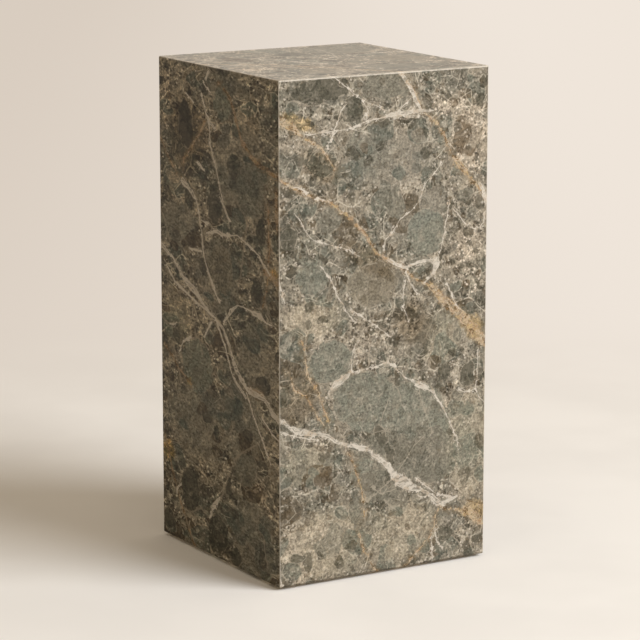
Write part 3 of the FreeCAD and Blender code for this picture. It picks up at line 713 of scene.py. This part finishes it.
def face_place(t, normal_axis, sign):
    """Where a point lies on its face, in millimetres: across and up from the left lower corner.
    Then its three axes."""
    x, y, z = t.axes(t.place())
    if normal_axis == "z":
        across, up = t.slope(x, MM_PER_M, HALF), t.slope(y, MM_PER_M, HALF)
        behind = t.slope(z, -MM_PER_M, HEIGHT)
    else:
        along, outward, turn = (x, y, -sign) if normal_axis == "y" else (y, x, sign)
        across, up = t.slope(along, turn * MM_PER_M, HALF), t.times(z, MM_PER_M)
        behind = t.slope(outward, -sign * MM_PER_M, HALF)
    # The pattern turns round the slab's edge instead of stretching through its thickness.
    return across, t.math("SUBTRACT", up, behind), (x, y, z)


def arris_highlight_mask(t, axes):
    """Where the painted highlight lies: 1 on the rounded edges of the column, falling to 0 within a
    millimetre or two of them.
    """
    from_side, from_front = (
        t.math("SUBTRACT", HALF, t.times(t.math("ABSOLUTE", axis), MM_PER_M)) for axis in axes[:2])
    from_top = t.slope(axes[2], -MM_PER_M, HEIGHT)
    # Near the upright edges the larger of the first two is small, and near the top's edges the
    # larger of the third and the smaller of the first two.
    upright = t.larger(from_side, from_front)
    over = t.larger(from_top, t.math("MINIMUM", from_side, from_front))
    return t.larger(t.smooth(upright, 2.6, 1.0), t.smooth(over, 3.2, 1.8))


def placed_patches(t, place, patches):
    """The placed fragments' tone, how far they cover the ground, how far they calm it, how far
    the nearest outline is, and the zones' tint."""
    tone, cover, calm, rim, tint = MEAN_TONE, 0.0, 0.0, 1.0, (1, 1, 1, 1)
    for centre_u, centre_v, half_u, half_v, turn, kind in patches:
        local = t.node("ShaderNodeMapping", {
            "Vector": place, "Location": (centre_u, centre_v, 0),
            "Rotation": (0, 0, math.radians(turn)), "Scale": (half_u, half_v, FLAT)},
            vector_type="TEXTURE").outputs[0]
        reach = t.vector("LENGTH", local)
        if kind in ZONES:
            zone_tint, own_calm = ZONES[kind]
            inside = t.smooth(reach, *ZONE_EDGE)
            tint = t.mix(inside, tint, zone_tint)
        else:
            own_tone, own_cover, edge, own_calm = PATCH_TONES[kind]
            inside = t.smooth(reach, 1 + edge, 1 - edge)
            tone = t.mix(inside, tone, own_tone)
            cover = t.larger(cover, t.times(inside, own_cover))
            away = t.math("ABSOLUTE", t.math("SUBTRACT", reach, 1.0))
            rim = t.math("MINIMUM", rim, t.times(away, min(half_u, half_v)))
        if own_calm:
            calm = t.larger(calm, t.times(inside, own_calm))
    return tone, cover, calm, rim, tint


def stone(t, ground, normal_axis, sign, veins, patches, offset, look):
    """The polished stone of one slab, with that face's own fragments and veins."""
    contrast, stretch = look["contrast"], look["stretch"]
    across, up, axes = face_place(t, normal_axis, sign)
    flat = t.node("ShaderNodeCombineXYZ", {0: across, 1: up}).outputs[0]
    own = t.vector("MULTIPLY_ADD", flat, (1 / stretch, 1, 1), offset)

    # The pattern's lines wander at two sizes, the veins at a third, and the patches are jagged.
    wander = t.shift(t.shift(flat, t.colours(own, 34), 3.5), t.colours(own, 12), 1.5)
    jagged = t.shift(wander, t.cells(t.vector("ADD", wander, offset), 10)["Color"], 3.0)
    if look["loose"]:
        jagged = t.shift(jagged, t.colours(own, 45), look["loose"])
    tone, cover, calm, rim, tint = placed_patches(t, jagged, patches)

    # How far the placed veins are.
    u, v, _ = t.axes(t.shift(wander, t.colours(own, 5.0, 2.0, 0.55), 0.8))
    spans = (WIDTH, WIDTH if normal_axis == "z" else HEIGHT)
    unit = (t.math("DIVIDE", u, spans[0]), t.math("DIVIDE", v, spans[1]))
    distance = {kind: outside_veins(t, (u, v), unit, spans, veins[kind], stretch)
                for kind in veins}
    nearest = t.math("MINIMUM", distance["gold"], distance["white"])

    base = t.node("ShaderNodeGroup", node_tree=ground)
    for key, value in (("Place", own), ("Tone", tone), ("Cover", cover), ("Calm", calm),
                       ("Near", t.smooth(nearest, 26, 2))):
        t.feed(base.inputs[key], value)
    grain, breaks, streak = (base.outputs[key] for key in ("Grain", "Break", "Streak"))
    colour = t.mix(1.0, base.outputs["Color"], tint, "MULTIPLY")
    colour = t.node("ShaderNodeGamma", {0: colour, 1: contrast}).outputs[0]
    colour = t.vector("MULTIPLY", colour, tuple(
        lift * mean ** (1 - contrast) for lift, mean in zip(look["lift"], MEAN_TONE)))

    # The placed fragments' rims, a haze round the veins and a stain round the gold ones.
    gate = t.noise(own, 24, 3.0, 0.65)
    node = t.noise(own, 9, 3.0, 0.65)
    haze = t.smooth(t.slope(breaks, -18, t.math("ADD", nearest, 9)), 7, -1)
    stain = t.smooth(t.slope(node, -40, t.math("ADD", distance["gold"], 18)), 7, -3)
    for share, other in (
        (t.times(t.smooth(rim, 1.3, 0.3), t.smooth(gate, 0.46, 0.6, 0, 0.6)), (186, 175, 156)),
        (t.times(haze, 0.15), (168, 155, 135)), (t.times(stain, 0.3), (136, 116, 86)),
    ):
        colour = t.mix(share, colour, srgb(*other))

    # What makes the veins uneven, in millimetres, and how much of them the streaks leave.
    ragged = t.straight(grain, 0.25, 0.75, -0.5, 0.5)
    swell = t.straight(node, 0.42, 0.58, -3.4, -0.6)
    swell = t.math("ADD", swell, t.smooth(node, 0.55, 0.64, 0, 3.0))
    sway = t.straight(t.noise(own, 15), 0.3, 0.7, -5.5, 2.5)
    streaked = t.smooth(streak, 0.40, 0.52, 0.25, 1.0)

    def vein_mask(kind, strength, swelling, joined=look["joined"]):
        """The vein's swelling core, a hairline that joins it up, and threads beside it."""
        away = distance[kind]
        edge = t.math("ADD", away, ragged)
        core = t.smooth(t.slope(swell, -swelling, edge), 0.7, -0.6)
        hair = t.times(t.smooth(edge, 0.1, -0.7), t.smooth(gate, 0.38, 0.54, joined, 1.0))
        # Deep inside a wide band only the streaks show.
        solid = t.larger(t.smooth(away, -3.8, -1.6), streaked)
        beside = t.math("ABSOLUTE", t.math("ADD", away, sway))
        thread = t.times(t.smooth(beside, 0.9, 0.2), t.smooth(gate, 0.46, 0.60, 0, 0.75))
        thread = t.times(thread, t.smooth(away, 7.0, 4.0))
        return t.times(t.larger(t.times(t.larger(core, hair), solid), thread), strength)

    hue = t.cells(t.shift(own, t.colours(own, 3.5, 2.0, 0.7), 2.5), 7.5)
    hue = t.slope(t.channels(hue["Color"])[0], 0.34, t.slope(grain, 0.5, 0.08))
    gold = t.ramp(hue, (0.34, (98, 80, 56)), (0.40, (170, 134, 88)), (0.45, (226, 214, 194)),
                  (0.50, (196, 166, 116)), (0.55, (220, 202, 180)), (0.60, (162, 118, 78)),
                  (0.66, (206, 182, 138)))
    white = t.ramp(hue, (0.35, (228, 219, 204)), (0.55, (214, 204, 189)),
                   (0.68, (204, 186, 162)))
    white = t.mix(look["bleach"], white, BLEACHED)
    colour = t.mix(vein_mask("faint", 0.62, 0.8), colour, srgb(190, 179, 160))
    colour = t.mix(vein_mask("gold", 0.85, 0.9, 0.12), colour, gold)
    colour = t.mix(vein_mask("white", 0.95, 1.0), colour, white)

    # Painted highlight: a pale line along the arrises, strongest on the faces that the key light
    # strikes, broken up by noise.
    worn = t.smooth(gate, 0.36, 0.56, 0.6 * look["worn"], look["worn"])
    colour = t.mix(t.times(arris_highlight_mask(t, axes), worn), colour, srgb(226, 217, 202))
    t.finish(colour, grain, (0.33, 0.41), 0.00003,
             IOR=TOP_IOR if normal_axis == "z" else SIDE_IOR)


# ---------------------------------------------------------------- the other materials

def resin(t):
    """Stone-coloured resin with powder of the stone in it."""
    speck = t.noise(t.place(), 0.0025, 3.0, 0.7)
    colour = t.ramp(speck, (0.35, (136, 124, 104)), (0.5, (164, 152, 132)),
                    (0.65, (190, 180, 160)))
    cloud = t.smooth(t.noise(t.place(), 0.04), 0.4, 0.6, 0.0, 0.4)
    colour = t.mix(cloud, colour, srgb(126, 118, 100))
    t.finish(colour, speck, (0.35, 0.5), 0.00005, IOR=1.5)


def timber(t, squeeze):
    """Planed softwood. squeeze draws its grain out along one axis."""
    along = t.vector("MULTIPLY", t.place(), squeeze)
    along = t.shift(along, t.colours(along, 0.03), 0.006)
    fibre = t.noise(t.vector("MULTIPLY", along, (3, 3, 3)), 0.0016, 3.0, 0.7)
    colour = t.ramp(t.noise(along, 0.0065, 2.0, 0.55), (0.36, (176, 132, 84)),
                    (0.46, (214, 178, 128)), (0.56, (226, 194, 146)), (0.66, (192, 148, 98)))
    colour = t.mix(t.smooth(fibre, 0.42, 0.62, 0.0, 0.28), colour, srgb(154, 112, 70))
    t.finish(colour, fibre, (0.55, 0.72), 0.0002, IOR=1.45)


def plywood(t):
    """Plywood: veneer grain on the faces and the plies' layers on the edges."""
    whole = t.place()
    face = t.vector("MULTIPLY", whole, (0.06, 1.0, 1.0))
    face = t.shift(face, t.colours(face, 0.05), 0.012)
    fibre = t.noise(face, 0.0012, 2.0, 0.7)
    colour = t.ramp(t.noise(face, 0.009, 4.0, 0.6), (0.34, (182, 140, 94)),
                    (0.5, (212, 176, 128)), (0.66, (222, 190, 146)))
    colour = t.mix(t.smooth(fibre, 0.45, 0.65, 0.0, 0.3), colour, srgb(160, 118, 76))
    # Plies two millimetres thick, light and dark by turns, only on upright faces.
    plies = t.smooth(t.math("PINGPONG", t.axes(whole)[2], 0.002), 0.0008, 0.0012)
    edge = t.mix(plies, srgb(204, 166, 118), srgb(142, 102, 66))
    cloud = t.smooth(t.noise(whole, 0.003, 3.0, 0.7), 0.4, 0.7, 0, 0.4)
    edge = t.mix(cloud, edge, srgb(118, 84, 54))
    normal = t.axes(t.node("ShaderNodeNewGeometry").outputs["Normal"])
    upright = t.smooth(t.math("ABSOLUTE", normal[2]), 0.6, 0.4)
    t.finish(t.mix(upright, colour, edge), fibre, (0.55, 0.7), 0.0002, IOR=1.45)


def steel(t):
    """Bright zinc plating, with its fine lines and a cloudy tone."""
    lines = t.noise(t.vector("MULTIPLY", t.place(), (1.0, 1.0, 12.0)), 0.0012, 2.0, 0.6)
    colour = t.ramp(t.noise(t.place(), 0.012, 3.0, 0.6), (0.35, (170, 172, 172)),
                    (0.55, (196, 197, 194)), (0.7, (208, 203, 186)))
    t.finish(colour, lines, (0.24, 0.40), 0.00003, Metallic=1.0)


def nylon(t):
    """Dark moulded nylon with a fine pebbled skin."""
    skin = t.noise(t.place(), 0.0009, 3.0, 0.6)
    colour = t.ramp(t.noise(t.place(), 0.02), (0.35, (34, 34, 35)), (0.65, (48, 47, 47)))
    t.finish(colour, skin, (0.42, 0.58), 0.00008, IOR=1.53)


def rubber(t):
    """Dull rubber with a dusty surface."""
    pits = t.noise(t.place(), 0.0008, 2.0, 0.6)
    colour = t.ramp(t.noise(t.place(), 0.005, 5.0, 0.7), (0.4, (30, 29, 28)),
                    (0.6, (46, 44, 42)), (0.75, (78, 74, 70)))
    t.finish(colour, pits, (0.72, 0.9), 0.0001, IOR=1.5)


def adhesive(t):
    """Grey-white flexible adhesive with trowel drag in it."""
    drag = t.noise(t.vector("MULTIPLY", t.place(), (1.0, 1.0, 0.25)), 0.006, 3.0, 0.6)
    colour = t.ramp(drag, (0.35, (172, 170, 162)), (0.6, (198, 196, 188)))
    t.finish(colour, drag, (0.5, 0.65), 0.0004, IOR=1.45)


# ---------------------------------------------------------------- dress the object

ground = stone_ground()
for side, axis, sign, veins, patches, offset, look in FACES:
    dress([side + "_slab"], make_material("marble_" + side, stone, ground, axis, sign, veins,
                                          patches, offset, PLAIN_LOOK | look, dimensions="2D"))

SIDES = ("front", "right", "back", "left")
CORNERS = ("front_left", "front_right", "back_right", "back_left")
dress(["mitre_resin"], make_material("tinted_resin", resin))
dress([side + "_adhesive" for side in SIDES + ("top",)],
      make_material("flexible_adhesive", adhesive))
for node_names, name, squeeze in (
    ([corner + "_post" for corner in CORNERS], "softwood_upright", (1.0, 1.0, 0.05)),
    (["front_rail", "back_rail"], "softwood_across", (0.05, 1.0, 1.0)),
    (["left_rail", "right_rail"], "softwood_deep", (1.0, 0.05, 1.0)),
):
    dress(node_names, make_material(name, timber, squeeze))
dress(["base_board", "top_board"], make_material("plywood_veneer", plywood))
dress(["base_board_screws", "top_board_screws", "rail_screws", "tee_nuts"]
      + [corner + "_foot_stem" for corner in CORNERS], make_material("zinc_plated_steel", steel))
dress([corner + "_foot_disc" for corner in CORNERS], make_material("moulded_nylon", nylon))
dress([corner + "_foot_sole" for corner in CORNERS], make_material("sole_rubber", rubber))


# ---------------------------------------------------------------- floor, light and camera

def seen_directly(t):
    """1 for the camera's rays and those that a glossy or clear surface sends on."""
    path = t.node("ShaderNodeLightPath").outputs
    return t.larger(t.larger(path["Is Camera Ray"], path["Is Glossy Ray"]),
                    path["Is Transmission Ray"])


def floor_plaster(t):
    """A pale plaster floor that turns into the backdrop away from the column."""
    place = t.node("ShaderNodeNewGeometry").outputs["Position"]
    clouds = t.smooth(t.noise(place, 0.35, 3.0), 0.35, 0.65)
    colour = t.mix(clouds, srgb(239, 236, 232), srgb(244, 241, 237))
    # The floor is pale to the eye, and sends less light on to the column.
    colour = t.mix(seen_directly(t), srgb(134, 122, 107), colour)
    near = t.node("ShaderNodeBsdfDiffuse", {"Color": colour}).outputs[0]
    # Painted shade: the backdrop is a little darker on the left, away from the key light on the
    # right.
    to_right = t.vector("DOT_PRODUCT", place, (math.cos(CAMERA_YAW), -math.sin(CAMERA_YAW), 0))
    tone = t.mix(t.smooth(to_right, *BACKDROP_SPAN), srgb(217, 205, 192), srgb(239, 229, 218))
    far = t.node("ShaderNodeEmission", {"Color": tone}).outputs[0]
    share = t.smooth(t.vector("LENGTH", place), FLOOR_ENDS, BACKDROP_STARTS)
    share = t.times(share, seen_directly(t))
    solid = t.node("ShaderNodeMixShader", {0: share, 1: near, 2: far}).outputs[0]
    # Seen from below the floor is clear. Under the column it lets the light from below through,
    # so that the base and its feet can be looked at.
    below = t.node("ShaderNodeNewGeometry").outputs["Backfacing"]
    x, y, _ = t.axes(place)
    reach = t.larger(t.math("ABSOLUTE", x), t.math("ABSOLUTE", y))
    under = t.times(t.math("LESS_THAN", reach, HALF / MM_PER_M),
                    t.math("SUBTRACT", 1.0, seen_directly(t)))
    clear = t.node("ShaderNodeBsdfTransparent").outputs[0]
    shown = t.node("ShaderNodeMixShader", {0: t.larger(below, under), 1: solid, 2: clear})
    t.node("ShaderNodeOutputMaterial", {"Surface": shown.outputs[0]})


def make_floor():
    mesh = bpy.data.meshes.new("floor")
    turns = [2 * math.pi * i / FLOOR_SIDES for i in range(FLOOR_SIDES)]
    ring = [(FLOOR_RADIUS * math.cos(turn), FLOOR_RADIUS * math.sin(turn), -FLOOR_DROP)
            for turn in turns]
    mesh.from_pydata(ring, [], [range(FLOOR_SIDES)])
    floor = bpy.data.objects.new("floor", mesh)
    bpy.context.scene.collection.objects.link(floor)
    mesh.materials.append(make_material("pale_floor", floor_plaster))


def make_world():
    world = bpy.data.worlds.new("room")
    world.use_nodes = True
    t = Tree(world.node_tree)
    height = t.axes(t.node("ShaderNodeTexCoord").outputs["Generated"])[2]
    strength = t.larger(t.straight(height, 0, 1, FILL_AT_HORIZON, FILL_OVERHEAD),
                        t.straight(height, -0.1, -0.2, 0, FILL_BELOW))
    fill = t.node("ShaderNodeBackground", {0: FILL_COLOUR, 1: strength}).outputs[0]
    seen = t.node("ShaderNodeBackground", {0: srgb(230, 219, 207), 1: 1.0}).outputs[0]
    both = t.node("ShaderNodeMixShader", {0: seen_directly(t), 1: fill, 2: seen}).outputs[0]
    t.node("ShaderNodeOutputWorld", {0: both})
    bpy.context.scene.world = world


def make_key_light():
    data = bpy.data.lights.new("key", "AREA")
    data.shape = "DISK"
    data.size = KEY_SIZE
    data.energy = KEY_WATTS
    data.color = KEY_COLOUR
    key = bpy.data.objects.new("key", data)
    key.visible_camera = False
    bpy.context.scene.collection.objects.link(key)
    away = KEY_BEARING * math.cos(KEY_ELEVATION) + Vector((0, 0, math.sin(KEY_ELEVATION)))
    key.location = Vector((0, 0, HEIGHT / MM_PER_M / 2)) + away * KEY_DISTANCE
    key.rotation_mode = "QUATERNION"
    key.rotation_quaternion = away.to_track_quat("Z", "Y")


def make_camera():
    data = bpy.data.cameras.new("photo_camera")
    data.lens = LENS
    data.sensor_width = SENSOR_WIDTH
    data.clip_end = CLIP_END
    camera = bpy.data.objects.new("photo_camera", data)
    bpy.context.scene.collection.objects.link(camera)
    ahead = Vector((math.sin(CAMERA_YAW) * math.cos(CAMERA_PITCH),
                    math.cos(CAMERA_YAW) * math.cos(CAMERA_PITCH), -math.sin(CAMERA_PITCH)))
    camera.location = CAMERA_PLACE
    camera.rotation_mode = "QUATERNION"
    camera.rotation_quaternion = ahead.to_track_quat("-Z", "Y")
    bpy.context.scene.camera = camera


make_floor()
make_world()
make_key_light()
make_camera()
bpy.context.scene.view_settings.view_transform = "Standard"
